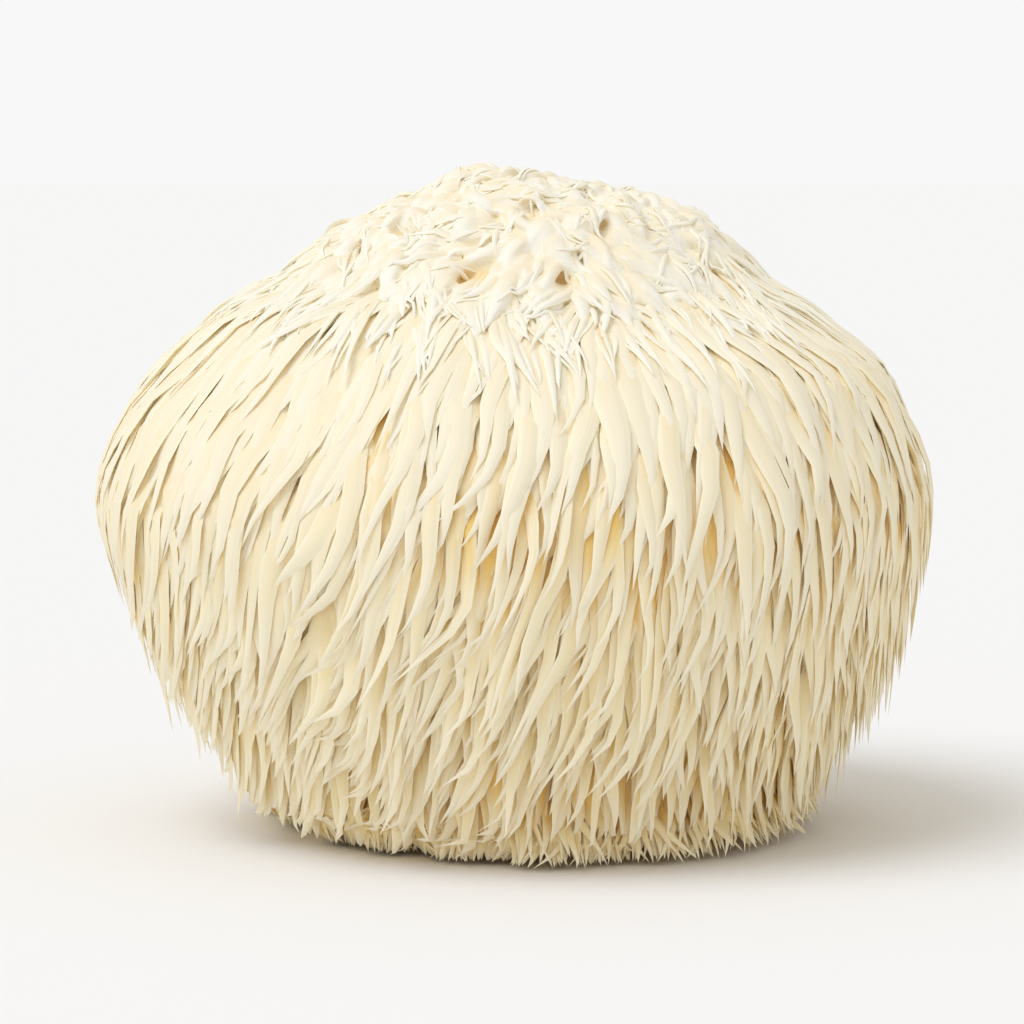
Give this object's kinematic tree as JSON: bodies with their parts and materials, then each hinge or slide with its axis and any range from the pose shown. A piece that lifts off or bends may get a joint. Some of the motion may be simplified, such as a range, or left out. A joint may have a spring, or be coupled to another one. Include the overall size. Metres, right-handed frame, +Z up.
{
  "type": "lions mane mushroom",
  "caption": "Round lion's mane mushroom, a pale fleshy body hung all over with long tapering spines, cut flat underneath so that it stands by itself.",
  "frame": {"origin": "middle of the flat cut face under the mushroom, on the surface that it stands on", "axes": "+Z up through the crown; -Y is the side shown to a viewer in front; +X is that viewer's right"},
  "size_m": [0.14, 0.134, 0.108],
  "materials": {
    "spines_and_flesh": "matte"
  },
  "bodies": {
    "root": {"fruiting_body": "spines_and_flesh"}
  },
  "joints": []
}
